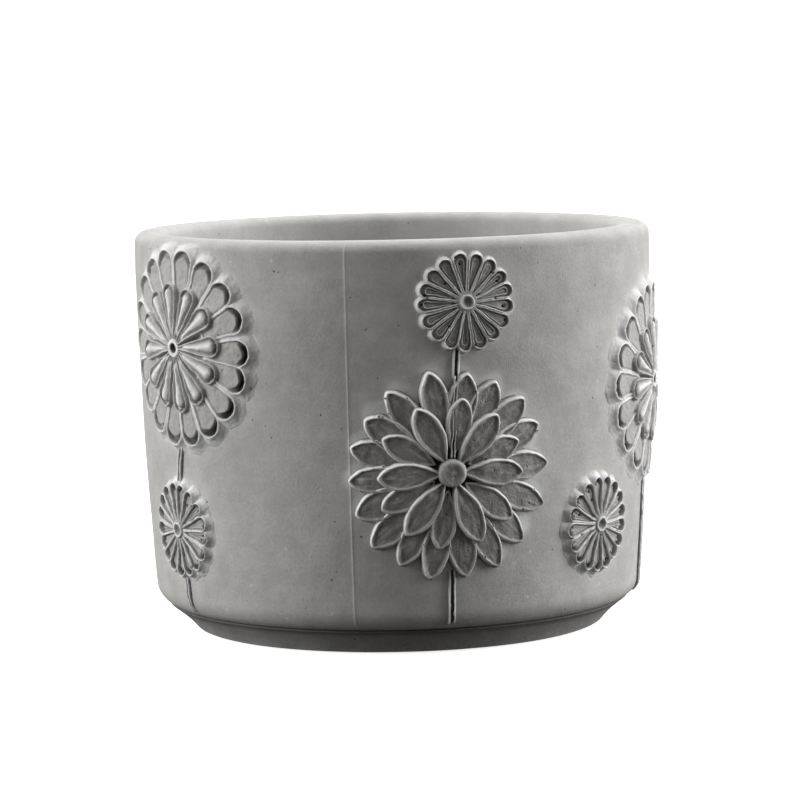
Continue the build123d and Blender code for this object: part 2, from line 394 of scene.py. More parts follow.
# --- flowers with round-ended petals, as heights over a disc --------------------------------------
# Tapered petals: where the round root and the round end are centred, then their radii.
ROUNDED_OUTER = (14.0, 24.0, 2.1, 3.75)
ROUNDED_INNER = (2.5, 15.2, 0.5, 3.05)
DAISY_PETAL = (2.0, 11.5, 0.2, 1.95)
DAISY_LOOP = (4.5, 10.9, 0.2, 0.95)
OUTER_PETALS = 18
INNER_PETALS = 12
DAISY_PETALS = 17
DAISY_FIRST = 98
DAISY_PITS = 14
# A flower's shell: how far it reaches, then its rings and columns of points.
ROUNDED_SHELL = (32.6, 134, 700)
DAISY_SHELL = (16.9, 104, 700)
SHELL_JAGGED = 0.07
SHELL_WELD = 0.002
# Heights of a shell's outer edge and of its back, both inside the wall, and the back's rings.
EDGE_LEVEL = -0.9
BACK_LEVEL = -1.3
BACK_ROWS = 6


def petal_distances(x, y, directions, root, end, root_half, end_half):
    """To each of a ring of tapered petals: distances, less than zero inside, and places along and across."""
    slope = (root_half - end_half) / (end - root)
    lean = math.sqrt(1 - slope**2)
    distances, places, sides = [], [], []
    for angle in np.radians(directions):
        u = x * np.cos(angle) + y * np.sin(angle)
        v = np.abs(y * np.cos(angle) - x * np.sin(angle))
        along = u - root
        turn = along * lean - v * slope
        side = v * lean + along * slope - root_half
        start = np.hypot(v, along) - root_half
        finish = np.hypot(v, u - end) - end_half
        distances.append(np.where(turn < 0, start, np.where(turn > lean * (end - root), finish, side)))
        places.append(u)
        sides.append(v)
    return np.array(distances), np.array(places), np.array(sides)


def nearest(distances, *others):
    """For each point, the values of the petal nearest to it."""
    index = distances.argmin(axis=0)[None]
    return [np.take_along_axis(values, index, 0)[0] for values in (distances, *others)]


def soft_edge(distance, top, width):
    """Height of the rounded edge of a flower, which runs out into the wall, by distance from its petals."""
    shares = (0.0, 0.08, 0.3, 0.55, 0.85, 1.1, 1.3)
    levels = (top, 0.95 * top, 0.5 * top, 0.18 * top, 0.0, -0.35, EDGE_LEVEL)
    return np.interp(distance / width, shares, levels)


def painted_front_shade(x, y, side):
    """Painted shade in the tips: most on the side turned to the dim front of the pot and slightly down."""
    return np.clip(0.42 + 0.58 * np.cos(np.arctan2(y, x * side) + 0.35), 0, 1)


def rounded_heights(x, y, rng, side):
    """Flat-faced outer petals with a deep tip, ribbed inner petals on top and an eye, in a soft rim."""
    outer = petal_angles(80, OUTER_PETALS, rng, 1.2)
    distance, along, _ = nearest(*petal_distances(x, y, outer, *ROUNDED_OUTER))
    inside = -distance
    rho = np.hypot(x, y)
    at_tip = smoothstep(23.0, 26.2, along)
    front_shade_share = painted_front_shade(x, y, side)
    wide = 0.5 + 1.5 * at_tip
    pocket = smoothstep(0.0, 0.5, inside) * smoothstep(wide + 0.45, wide, inside)
    face = soft_edge(distance, 1.75, 3.4) - 0.3 * smoothstep(0.1, 0.6, inside) - pocket * (0.2 + at_tip)
    light = np.maximum(0.9 * bump(inside, -0.15, 0.4), 0.7 * halo_dust(distance, 4.2))
    # Painted shade in the pockets, darkest at the tips and most on the side turned to the front.
    dark = pocket * (0.15 + at_tip * front_shade_share)

    inner = petal_angles(65, INNER_PETALS, rng, 1.5)
    distance, along, across = nearest(*petal_distances(x, y, inner, *ROUNDED_INNER))
    inside = -distance
    at_tip = smoothstep(14.8, 17.4, along)
    rib = smoothstep(3, 6, along) * smoothstep(17.0, 15.4, along) * bump(across, 0, 0.4 + 0.75 * along / 16)
    outline = bump(inside, 0.2, 0.28)
    groove = bump(inside, 0.95, 0.5) * (1 - rib) * (0.45 + 0.85 * at_tip)
    petal = 2.55 * smoothstep(-0.6, 0.15, inside) + 0.25 * outline - groove + 0.55 * rib
    over = inside > -0.6
    on_top = over & (petal >= face)
    light = np.where(on_top, np.maximum(0.5 * outline, rib), light)
    # Painted shade in the grooves of the inner petals, more on the side turned to the front.
    dark = np.where(on_top, groove * (0.4 + 0.5 * front_shade_share), dark)
    height = np.where(on_top, petal, face)

    eye = 3.0 * smoothstep(3.2, 2.5, rho) - 1.4 * smoothstep(1.5, 0.5, rho)
    height = np.where(rho < 3.2, np.maximum(height, eye), height)
    light = np.where(rho < 3.0, bump(rho, 2.1, 0.6), light)
    # Painted shade in the dimple in the middle of the eye.
    dark = np.where(rho < 1.3, 0.9, np.where(rho < 3.0, 0.0, dark))
    return height, light, dark


def daisy_heights(x, y, rng, side, hollow):
    """Narrow petals with a raised rim and loop each, more or less hollow at the tip, pits and an eye."""
    ring = petal_angles(DAISY_FIRST, DAISY_PETALS, rng, 1.2)
    distances, alongs, _ = petal_distances(x, y, ring, *DAISY_PETAL)
    strengths = rng.uniform(0.3, 1.0, DAISY_PETALS)[:, None, None] * np.ones_like(distances)
    distance, along, strength = nearest(distances, alongs, strengths)
    inside = -distance
    rho = np.hypot(x, y)
    at_tip = smoothstep(10.7, 12.3, along)
    front_shade_share = painted_front_shade(x, y, side)
    crest = bump(inside, 0.03, 0.2)
    pocket = hollow * at_tip * smoothstep(0.1, 0.45, inside) * smoothstep(1.7, 1.3, inside)
    loop_distance = nearest(*petal_distances(x, y, ring, *DAISY_LOOP))[0]
    loop = bump(loop_distance, 0.0, 0.17) * strength * (1 - 0.6 * hollow)
    trough = bump(inside, 0.45, 0.2) * (rho > 3)
    height = soft_edge(distance, 1.6, 0.8 + 1.5 * hollow) + 0.35 * crest - 0.5 * smoothstep(0.15, 0.5, inside)
    height = height + 0.6 * loop - 0.2 * trough - 0.95 * pocket
    fluff = 0.55 + 0.45 * noise(np.stack([x, y, 0 * x], -1), 0.8)
    halo = halo_dust(distance, 1.2 + 1.6 * hollow) * (0.35 + 0.5 * hollow + 0.4 * fluff)
    light = np.maximum.reduce([1.1 * crest * (0.6 + 0.8 * fluff), loop, halo])
    # Painted shade in the troughs, just inside the loops and in the hollow tips, the tips most on the side
    # turned to the front.
    inner_dark = 0.5 * bump(loop_distance, -0.4, 0.22) * strength
    dark = np.maximum.reduce([0.6 * trough * (1 - hollow * 0.4), inner_dark, pocket * (0.25 + 0.75 * front_shade_share)])
    # Pits: dents painted dark inside, as the shade in them.
    for _ in range(DAISY_PITS):
        turn, out, size = rng.uniform(0, 2 * np.pi), rng.uniform(7.5, 12.8), rng.uniform(0.26, 0.42)
        pit = bump(np.hypot(x - out * np.cos(turn), y - out * np.sin(turn)), 0, size)
        height, light, dark = height - 0.9 * pit, light * (1 - pit), np.maximum(dark, 1.2 * pit)
    dish = np.clip(1 - (rho / 1.6) ** 2, 0, 1)
    eye = 2.5 * smoothstep(2.6, 2.0, rho) - 1.2 * dish
    height = np.where(rho < 2.6, np.maximum(height, eye), height)
    light = np.where(rho < 2.4, bump(rho, 1.85, 0.3), light)
    # Painted shade in the eye's dish; elsewhere the darkening is eased on the crests.
    dark = np.where(rho < 2.4, 0.35 * dish, dark * (1 - 0.6 * crest))
    return height, light, dark


def height_flower(name, azimuth, z, heights, seed, shell, *details):
    """A flower as a closed shell: rings of points from its middle to its sunk edge, and a back."""
    reach, rows, columns = shell
    turn = np.linspace(0, 2 * np.pi, columns, endpoint=False)
    rho = np.linspace(0.02, reach, rows)[:, None]
    x, y = rho * np.cos(turn), rho * np.sin(turn)
    height, light, dark = heights(x, y, np.random.default_rng(seed), *details)
    height[-1] = EDGE_LEVEL
    back = np.linspace(reach, 0.02, BACK_ROWS)[:, None]
    x, y = np.concatenate([x, back * np.cos(turn)]), np.concatenate([y, back * np.sin(turn)])
    height = np.concatenate([height, np.full((BACK_ROWS, columns), BACK_LEVEL)])
    light, dark = (np.concatenate([v, np.zeros((BACK_ROWS, columns))]) for v in (light, dark))
    # Near the pot's rim the shell sinks into the wall and stops short of the top.
    height = height - 1.5 * smoothstep(RIM_Z - 2.2, RIM_Z - 0.8, z + y)
    y = np.minimum(y, RIM_Z - 1.0 - z)
    points = on_wall(x.ravel(), y.ravel(), height.ravel(), azimuth, z)
    count = rows + BACK_ROWS
    faces = grid_faces(count, columns)
    faces.append(tuple(range(columns))[::-1])
    faces.append(tuple(range((count - 1) * columns, count * columns)))
    values = {"edge": light.ravel(), "deep": dark.ravel()}
    return make_object(name, weathered(points, SHELL_JAGGED), faces, values, weld=SHELL_WELD)


# --- where the flowers are: azimuth and height of the large one, then of the small one ------------
PLACES = {
    "front": (11.5, 52.3, 15.2, 98.9),
    "right": (76.0, 71.5, 50.2, 33.6),
    "rear_right": (156.1, 52.3, 160.0, 98.9),
    "rear_left": (228.0, 71.5, 201.0, 33.6),
    "left": (-53.0, 85.6, -56.6, 33.5),
}
POINTED_PLACES = ("front", "rear_right")

# Dust on the wall round a flower's petals: how many, how far out their ends are, the ends' radius, the
# first one's direction and the dust's width, which for a small flower depends on the kind.
POINTED_HALOS = ((len(OUTER_TIPS), 24.0, 3.4, 2, 3.2), (len(OUTER_TIPS), 27.2, 1.2, 2, 3.2))
ROUNDED_HALO = (OUTER_PETALS, ROUNDED_OUTER[1], ROUNDED_OUTER[3], 0, 4.4)
DAISY_HALO = (DAISY_PETALS, DAISY_PETAL[1], DAISY_PETAL[3], DAISY_FIRST)
SMALL_SEED_GAP = 50

# Stems: how far from a large and a small flower's middle they start, how low they end, the width of the
# plain ones, and how far aside of the large flower a small one may be and still share its stem.
LARGE_EDGE = 27.5
SMALL_EDGE, SMALL_LOW_EDGE = 12.6, 12.8
STEM_END_Z = BOTTOM_Z + 2.2
STEM_WIDTH = 1.7
STEM_REACH = 15.0


def around(centre, count, out, radius, first, width):
    """Azimuth, height, radius and dust width of the end of each petal in a ring."""
    azimuth, z = centre
    turn = np.radians(first + np.arange(count) * 360 / count)
    across = np.degrees(out * np.cos(turn) / RIM_RADIUS)
    return [(azimuth + a, z + h, radius, width) for a, h in zip(across, out * np.sin(turn))]


# --- materials ----------------------------------------------------------------------------------
def material(name):
    """A new node material, with its nodes, its links and its shader."""
    made = bpy.data.materials.new(name)
    made.use_nodes = True
    return made, made.node_tree.nodes, made.node_tree.links, made.node_tree.nodes["Principled BSDF"]


def ramp(nodes, stops):
    """A colour ramp from positions and greys or colours."""
    made = nodes.new("ShaderNodeValToRGB")
    elements = made.color_ramp.elements
    while len(elements) < len(stops):
        elements.new(0.5)
    for element, (position, color) in zip(elements, stops):
        element.position = position
        element.color = (*color, 1) if not isinstance(color, float) else (color, color, color, 1)
    return made


def textured(nodes, links, kind, scale, upright=1.0, **values):
    """A procedural texture in object space, so that it runs on from piece to piece, squashed if asked."""
    coordinates = nodes.new("ShaderNodeTexCoord")
    stretch = nodes.new("ShaderNodeMapping")
    stretch.inputs["Scale"].default_value = (1, 1, upright)
    links.new(coordinates.outputs["Object"], stretch.inputs["Vector"])
    made = nodes.new(kind)
    links.new(stretch.outputs["Vector"], made.inputs["Vector"])
    made.inputs["Scale"].default_value = scale
    for key, value in values.items():
        made.inputs[key].default_value = value
    return made


def mixed(nodes, links, factor, first, second, blend="MIX"):
    """Two colours mixed; each input is a socket, a colour or a number."""
    made = nodes.new("ShaderNodeMix")
    made.data_type = "RGBA"
    made.blend_type = blend
    for socket, value in ((made.inputs[0], factor), (made.inputs[6], first), (made.inputs[7], second)):
        if isinstance(value, bpy.types.NodeSocket):
            links.new(value, socket)
        elif isinstance(value, tuple):
            socket.default_value = (*value, 1)
        else:
            socket.default_value = value
    return made.outputs[2]


def attribute(nodes, name):
    """A value stored at the mesh's points."""
    made = nodes.new("ShaderNodeAttribute")
    made.attribute_name = name
    return made.outputs["Fac"]


def maths(nodes, links, operation, first, second, clamp=False):
    """One arithmetic step on two inputs, each a socket or a number."""
    made = nodes.new("ShaderNodeMath")
    made.operation = operation
    made.use_clamp = clamp
    for socket, value in zip(made.inputs, (first, second)):
        if isinstance(value, bpy.types.NodeSocket):
            links.new(value, socket)
        else:
            socket.default_value = value
    return made.outputs[0]


def cement(name, base, dust_and_painted_light, dirt_and_shade, dust_and_light_share, roughness):
    """Cast cement: cloudy grey, fine grain, pinholes painted dark as shade, pale edges of dust and painted
    highlight, and dark hollows of dirt and painted shade.
    """
    made, nodes, links, shader = material(name)
    cloud = textured(nodes, links, "ShaderNodeTexNoise", scale=38.0, Detail=5.0, Roughness=0.62)
    grain = textured(nodes, links, "ShaderNodeTexNoise", scale=1500.0, Detail=4.0, Roughness=0.7)
    blotch = textured(nodes, links, "ShaderNodeTexNoise", scale=140.0, Detail=4.0, Roughness=0.6)
    pores = textured(nodes, links, "ShaderNodeTexVoronoi", scale=260.0, Randomness=1.0)
    sparse = textured(nodes, links, "ShaderNodeTexNoise", scale=90.0, Detail=2.0)
    specks = textured(nodes, links, "ShaderNodeTexVoronoi", scale=120.0, Randomness=1.0)

    pale = tuple(min(1, c * 1.1) for c in base)
    deepened = tuple(c * 0.9 for c in base)
    clouds = ramp(nodes, [(0.25, deepened), (0.5, base), (0.75, pale)])
    links.new(cloud.outputs["Fac"], clouds.inputs[0])
    spots = ramp(nodes, [(0.35, 0.93), (0.65, 1.05)])
    links.new(blotch.outputs["Fac"], spots.inputs[0])
    color = mixed(nodes, links, 1.0, clouds.outputs[0], spots.outputs[0], "MULTIPLY")
    fine = ramp(nodes, [(0.3, 1 - 0.3 * roughness), (0.7, 1 + 0.25 * roughness)])
    links.new(grain.outputs["Fac"], fine.inputs[0])
    color = mixed(nodes, links, 1.0, color, fine.outputs[0], "MULTIPLY")

    streaks = textured(nodes, links, "ShaderNodeTexNoise", scale=60.0, upright=9.0, Detail=4.0, Roughness=0.6)
    lines = ramp(nodes, [(0.35, 0.975), (0.65, 1.02)])
    links.new(streaks.outputs["Fac"], lines.inputs[0])
    color = mixed(nodes, links, 1.0, color, lines.outputs[0], "MULTIPLY")

    # Paler where the edge values say: dust, with painted highlight on rims and painted light on the inner
    # wall.
    dust_and_light_mix = maths(nodes, links, "MULTIPLY", attribute(nodes, "edge"), dust_and_light_share)
    unevenness = maths(nodes, links, "ADD", blotch.outputs["Fac"], 0.5)
    dust_and_light_mix = maths(nodes, links, "MULTIPLY", dust_and_light_mix, unevenness, True)
    color = mixed(nodes, links, dust_and_light_mix, color, dust_and_painted_light)
    # Darker where the deep values say: dirt and painted shade in creases, grooves, pockets and hollows.
    dirt_and_shade_mix = maths(nodes, links, "MULTIPLY", attribute(nodes, "deep"), 0.96, True)
    color = mixed(nodes, links, dirt_and_shade_mix, color, dirt_and_shade)

    # Pinholes, painted dark as the shade inside them.
    pit = ramp(nodes, [(0.05, 0.0), (0.1, 1.0)])
    links.new(pores.outputs["Distance"], pit.inputs[0])
    where = ramp(nodes, [(0.52, 0.0), (0.6, 1.0)])
    links.new(sparse.outputs["Fac"], where.inputs[0])
    inside = maths(nodes, links, "SUBTRACT", 1.0, pit.outputs[0])
    hole = maths(nodes, links, "MULTIPLY", inside, where.outputs[0])
    color = mixed(nodes, links, maths(nodes, links, "MULTIPLY", hole, 0.75), color, dirt_and_shade)
    fleck = ramp(nodes, [(0.045, 1.0), (0.075, 0.0)])
    links.new(specks.outputs["Distance"], fleck.inputs[0])
    color = mixed(nodes, links, maths(nodes, links, "MULTIPLY", fleck.outputs[0], 0.3), color, dust_and_painted_light)
    links.new(color, shader.inputs["Base Color"])

    rough = ramp(nodes, [(0.3, 0.7), (0.7, 0.9)])
    links.new(grain.outputs["Fac"], rough.inputs[0])
    links.new(rough.outputs[0], shader.inputs["Roughness"])
    shader.inputs["Specular IOR Level"].default_value = 0.15

    relief = maths(nodes, links, "MULTIPLY", grain.outputs["Fac"], 0.35)
    relief = maths(nodes, links, "ADD", relief, maths(nodes, links, "MULTIPLY", blotch.outputs["Fac"], 0.9))
    relief = maths(nodes, links, "SUBTRACT", relief, maths(nodes, links, "MULTIPLY", hole, 1.6))
    bumped = nodes.new("ShaderNodeBump")
    bumped.inputs["Strength"].default_value = roughness
    bumped.inputs["Distance"].default_value = 0.0006
    links.new(relief, bumped.inputs["Height"])
    links.new(bumped.outputs[0], shader.inputs["Normal"])
    return made


def moulded(name, color, roughness, grain_scale, bump_distance):
    """Moulded rubber or plastic with a fine matt grain and faint scuffs."""
    made, nodes, links, shader = material(name)
    grain = textured(nodes, links, "ShaderNodeTexNoise", scale=grain_scale, Detail=3.0)
    scuff = textured(nodes, links, "ShaderNodeTexNoise", scale=180.0, Detail=6.0, Roughness=0.7)
    tones = ramp(nodes, [(0.35, tuple(c * 0.75 for c in color)), (0.7, tuple(c * 1.45 for c in color))])
    links.new(scuff.outputs["Fac"], tones.inputs[0])
    links.new(tones.outputs[0], shader.inputs["Base Color"])
    gloss = ramp(nodes, [(0.3, roughness - 0.08), (0.7, roughness + 0.1)])
    links.new(scuff.outputs["Fac"], gloss.inputs[0])
    links.new(gloss.outputs[0], shader.inputs["Roughness"])
    bumped = nodes.new("ShaderNodeBump")
    bumped.inputs["Strength"].default_value = 0.4
    bumped.inputs["Distance"].default_value = bump_distance
    links.new(grain.outputs["Fac"], bumped.inputs["Height"])
    links.new(bumped.outputs[0], shader.inputs["Normal"])
    return made


wall_cement = cement(
    "wall_cement",
    base=(0.36, 0.356, 0.345),
    dust_and_painted_light=(0.64, 0.645, 0.66),
    dirt_and_shade=(0.02, 0.019, 0.018),
    dust_and_light_share=0.62,
    roughness=0.4,
)
pale_cement = cement(
    "pale_cement",
    base=(0.35, 0.346, 0.335),
    dust_and_painted_light=(0.66, 0.662, 0.67),
    dirt_and_shade=(0.012, 0.0115, 0.011),
    dust_and_light_share=0.9,
    roughness=0.5,
)
flower_cement = cement(
    "flower_cement",
    base=(0.28, 0.275, 0.26),
    dust_and_painted_light=(0.74, 0.742, 0.755),
    dirt_and_shade=(0.014, 0.0135, 0.013),
    dust_and_light_share=1.0,
    roughness=0.9,
)
# The foot's cement is a darker copy of the wall's: painted shade, as the foot stands back in the body's
# shadow.
foot_cement = cement(
    "foot_cement",
    base=(0.255, 0.252, 0.248),
    dust_and_painted_light=(0.4, 0.4, 0.4),
    dirt_and_shade=(0.03, 0.029, 0.027),
    dust_and_light_share=0.4,
    roughness=0.6,
)
pad_rubber = moulded(
    "pad_rubber", color=(0.035, 0.035, 0.037), roughness=0.8, grain_scale=2600.0, bump_distance=0.0002
)
plug_rubber = moulded(
    "plug_rubber", color=(0.05, 0.05, 0.052), roughness=0.55, grain_scale=1800.0, bump_distance=0.00008
)
screen_plastic = moulded(
    "screen_plastic", color=(0.03, 0.034, 0.031), roughness=0.45, grain_scale=1500.0, bump_distance=0.00006
)


def finish_piece(piece, surface, slot, body, *nodes):
    """Material, place in the frame and the CAD nodes that a piece stands for."""
    piece.data.materials.clear()
    piece.data.materials.append(surface)
    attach(piece, body)
    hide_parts(*nodes)


# --- flowers and stems --------------------------------------------------------------------------
halos = []
for index, (place, (azimuth, z, small_azimuth, small_z)) in enumerate(PLACES.items()):
    seed = SEED + index
    pointed = place in POINTED_PLACES
    side = -1 if 0 < azimuth < 180 else 1
    name = f"large_flower_{place}_relief"
    if pointed:
        large = pointed_flower(np.random.default_rng(seed)).finish(name, azimuth, z)
        for halo in POINTED_HALOS:
            halos += around((azimuth, z), *halo)
    else:
        large = height_flower(name, azimuth, z, rounded_heights, seed, ROUNDED_SHELL, side)
        halos += around((azimuth, z), *ROUNDED_HALO)
    surface = flower_cement if pointed else pale_cement
    finish_piece(large, surface, "relief_cement", "pot", f"large_flower_{place}")
    hollow = 0.1 if pointed else 1.0
    name = f"small_flower_{place}_relief"
    seed += SMALL_SEED_GAP
    small = height_flower(name, small_azimuth, small_z, daisy_heights, seed, DAISY_SHELL, side, hollow)
    finish_piece(small, pale_cement, "relief_cement", "pot", f"small_flower_{place}")
    halos += around((small_azimuth, small_z), *DAISY_HALO, 1.4 + 1.8 * hollow)

    stem = Relief()
    aside = math.radians(small_azimuth - azimuth) * RIM_RADIUS
    bottom = STEM_END_Z - z
    up = small_z - z
    if abs(aside) < STEM_REACH and small_z > z:
        start = (aside * 0.45, up - SMALL_LOW_EDGE, 0.0)
        stem.channel([start, (aside * 0.38, 29.0, 0.0), (aside * 0.36, 25.5, 0.3)])
        stem.channel([(aside * 0.36, 26.5, 1.2), (aside * 0.2, 18.0, 1.5), (0.3, 4.2, 2.0)], 1.15)
        stem.channel([(0.1, -LARGE_EDGE, 0.0), (0.3, (bottom - LARGE_EDGE) / 2, 0.0), (0.3, bottom, 0.0)])
    elif abs(aside) < STEM_REACH:
        stem.channel([(aside * 0.45, -LARGE_EDGE, 0.0), (aside, up + SMALL_EDGE, 0.0)], STEM_WIDTH)
        stem.channel([(aside, up - SMALL_EDGE, 0.0), (aside + 0.6, bottom, 0.0)], STEM_WIDTH)
    else:
        path = [(0.0, -LARGE_EDGE, 0.0), (0.4, (bottom - LARGE_EDGE) / 2, 0.0), (0.0, bottom, 0.0)]
        stem.channel(path, STEM_WIDTH)
    stem = stem.finish(f"stem_{place}_relief", azimuth, z)
    finish_piece(stem, flower_cement, "relief_cement", "pot", f"stem_{place}")


# --- pot body -----------------------------------------------------------------------------------
SEAM_AZIMUTHS = (-10.0, 170.0)
SEAM_HEIGHT = 0.1
SEAM_HALF_WIDTH = 0.28
POT_COLUMNS = 640
WALL_ROWS = 130


def arc(centre, radius, first, last, count):
    """Profile points on an arc, from the first angle to the last, in degrees from outwards to up."""
    turn = np.radians(np.linspace(first, last, count))
    return [(centre[0] + radius * math.cos(t), centre[1] + radius * math.sin(t)) for t in turn]


def straight(first, last, count):
    """Profile points after the first and up to the last."""
    share = np.linspace(0, 1, count + 1)[1:, None]
    return [tuple(p) for p in np.array(first) + (np.array(last) - np.array(first)) * share]


def revolve(profile, turns):
    """Rings of points about the pot's axis, one for each profile point, at the azimuths given in radians."""
    profile = np.asarray(profile)
    r, z = profile[:, :1], profile[:, 1:]
    return np.stack([r * np.sin(turns), -r * np.cos(turns), np.repeat(z, len(turns), 1)], -1)


def pot_profile():
    """Radius and height round the pot's section: under the floor, up the wall, over the rim and back in."""
    rim, lip = 3.1, 2.6
    inner = RIM_RADIUS - WALL
    cavity = 10.0
    chamfer = 0.8
    floor_edge = wall_radius(FLOOR_Z) - WALL
    bottom = wall_radius(BOTTOM_Z + CORNER) - CORNER
    points = straight((HOLE_RADIUS, BOTTOM_Z), (bottom, BOTTOM_Z), 12)
    points += arc((bottom, BOTTOM_Z + CORNER), CORNER, -90, -4, 12)[1:]
    points += [(wall_radius(z), z) for z in np.linspace(BOTTOM_Z + CORNER + 0.4, RIM_Z - rim, WALL_ROWS)]
    points += arc((RIM_RADIUS - rim, RIM_Z - rim), rim, 6, 90, 12)
    points += straight((RIM_RADIUS - rim, RIM_Z), (inner + lip, RIM_Z), 5)
    points += arc((inner + lip, RIM_Z - lip), lip, 90, 180, 9)[1:]
    points += [(wall_radius(z) - WALL, z) for z in np.linspace(RIM_Z - lip - 1, FLOOR_Z + cavity, 22)]
    points += arc((floor_edge - cavity, FLOOR_Z + cavity), cavity, 0, -90, 9)[1:]
    points += straight((floor_edge - cavity, FLOOR_Z), (HOLE_RADIUS + chamfer, FLOOR_Z), 12)
    points += straight((HOLE_RADIUS + chamfer, FLOOR_Z), (HOLE_RADIUS, FLOOR_Z - chamfer), 1)
    points += straight((HOLE_RADIUS, FLOOR_Z - chamfer), (HOLE_RADIUS, BOTTOM_Z), 3)
    return points


def pot_turns():
    """Column azimuths in radians: even steps, with extra columns across each seam."""
    even = np.linspace(-180, 180, POT_COLUMNS, endpoint=False)
    step = np.degrees(SEAM_HALF_WIDTH / RIM_RADIUS)
    extra = [seam + k * step for seam in SEAM_AZIMUTHS for k in (-2, -1, -0.5, 0, 0.5, 1, 2)]
    near = np.min([np.abs(even - seam) for seam in SEAM_AZIMUTHS], axis=0) < 2.5 * step
    return np.radians(np.sort(np.concatenate([even[~near], extra])))


turns = pot_turns()
profile = pot_profile()
rings = revolve(profile, turns)
radii, levels = (np.array(values)[:, None] for values in zip(*profile))
outside = smoothstep(-1.6, -0.4, radii - wall_radius(levels)) * smoothstep(8, 12, levels)
degrees_round = np.degrees(turns)[None, :]
seam = sum(
    np.exp(-(((degrees_round - azimuth) * math.pi / 180 * RIM_RADIUS / SEAM_HALF_WIDTH) ** 2))
    for azimuth in SEAM_AZIMUTHS
)
free = smoothstep(HOLE_RADIUS + 1, HOLE_RADIUS + 6, radii)
rings = rings + outwards(rings) * (swelling(rings) * free + SEAM_HEIGHT * seam * outside)[..., None]

dust_and_painted_light = np.zeros(rings.shape[:2])
drift = 0.7 * noise(rings + 15, 4.0)
for azimuth, z, reach, width in halos:
    across = (degrees_round - azimuth + 180) % 360 - 180
    distance = np.hypot(np.radians(across) * RIM_RADIUS, levels - z) - reach
    near = smoothstep(width, 0.15 * width, distance + drift)
    near = np.maximum(near, 0.22 * smoothstep(8.0, 1.0, distance + drift))
    dust_and_painted_light = np.maximum(dust_and_painted_light, near * outside)
dust_and_painted_light = dust_and_painted_light + 0.35 * seam * outside
top = smoothstep(RIM_Z - 2.0, RIM_Z - 0.2, np.broadcast_to(levels, dust_and_painted_light.shape))
# Painted light: the inside of the wall is made paler, more so higher above the floor, in place of light
# falling on it.
inner_wall_painted_light = smoothstep(-2.0, -4.0, radii - wall_radius(levels)) * smoothstep(FLOOR_Z, FLOOR_Z + 40, levels)
dust_and_painted_light = np.clip(np.maximum(dust_and_painted_light, np.maximum(0.25 * top, 0.38 * inner_wall_painted_light)), 0, 1)
pot = make_object(
    "pot_body_cast",
    rings.reshape(-1, 3),
    grid_faces(len(profile), len(turns), close_rows=True),
    {"edge": dust_and_painted_light.ravel(), "deep": np.zeros(dust_and_painted_light.size)},
)
finish_piece(pot, wall_cement, "cement", "pot", "pot_body")


# --- foot ---------------------------------------------------------------------------------------
FOOT_TOP = foot_high.z / MM
FOOT_BOTTOM = foot_low.z / MM
FOOT_TOP_RADIUS = foot_high.x / MM
FOOT_BOTTOM_RADIUS = 60.2
FOOT_INNER_RADIUS = 46.0
FOOT_COLUMNS = 480


def foot_profile():
    """Radius and height round the foot's section: down its inside, under it, up its flank and back."""
    inner_round, outer_round = 0.7, 0.9
    inner, outer = FOOT_INNER_RADIUS, FOOT_BOTTOM_RADIUS
    points = straight((inner, FOOT_TOP), (inner, FOOT_BOTTOM + inner_round), 4)
    points += arc((inner + inner_round, FOOT_BOTTOM + inner_round), inner_round, 180, 270, 4)[1:]
    points += straight((inner + inner_round, FOOT_BOTTOM), (outer - outer_round, FOOT_BOTTOM), 6)
    points += arc((outer - outer_round, FOOT_BOTTOM + outer_round), outer_round, -90, -40, 4)[1:]
    for s in np.linspace(0, 1, 16)[1:]:
        bow = 0.5 * math.sin(math.pi * s)
        radius = outer - 0.2 + (FOOT_TOP_RADIUS - outer + 0.2) * s - bow
        points.append((radius, FOOT_BOTTOM + 0.32 + (FOOT_TOP - FOOT_BOTTOM - 0.32) * s))
    points += straight((FOOT_TOP_RADIUS, FOOT_TOP), (inner, FOOT_TOP), 6)
    return points


profile = foot_profile()
turns = np.linspace(-np.pi, np.pi, FOOT_COLUMNS, endpoint=False)
rings = revolve(profile, turns)
levels = np.array([level for _, level in profile])[:, None]
wobble = 0.12 * noise(rings, 18.0) + 0.06 * noise(rings + 40, 5.0)
rings = rings + outwards(rings) * wobble[..., None]
low_edge = smoothstep(1.6, 0.5, np.broadcast_to(levels, wobble.shape))
# Painted shadow: the top of the foot, under the body's bottom edge, is darkened.
under = smoothstep(FOOT_TOP - 2.4, FOOT_TOP, np.broadcast_to(levels, wobble.shape))
foot = make_object(
    "foot_ring_cast",
    rings.reshape(-1, 3),
    grid_faces(len(profile), len(turns), close_rows=True),
    {"edge": (0.5 * low_edge).ravel(), "deep": (0.7 * under).ravel()},
)
finish_piece(foot, foot_cement, "cement", "pot", "foot_ring")


# --- CAD pieces that keep their shape and get a finish ------------------------------------------
CAD_FINISHES = {"foot_pads": pad_rubber, "drain_screen": screen_plastic, "drain_plug": plug_rubber}
for node, surface in CAD_FINISHES.items():
    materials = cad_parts[node].data.materials
    materials.clear()
    materials.append(surface)


# --- floor, lights, camera ----------------------------------------------------------------------
FLOOR_HALF = 4000
PAPER_TONE = 0.8
PAPER_GLOW = 0.8
WORLD_STRENGTH = 1.2
WORLD_TINT = (1, 0.975, 0.945, 1)
SEEN_STRENGTH = 1.05
LIGHT_SIZE = 0.8


def paper(name):
    """White studio paper that glows a little, so that it stays white under the lights."""
    made, _, _, shader = material(name)
    shader.inputs["Base Color"].default_value = (PAPER_TONE, PAPER_TONE, PAPER_TONE, 1)
    shader.inputs["Roughness"].default_value = 0.9
    shader.inputs["Emission Color"].default_value = (1, 1, 1, 1)
    shader.inputs["Emission Strength"].default_value = PAPER_GLOW
    return made


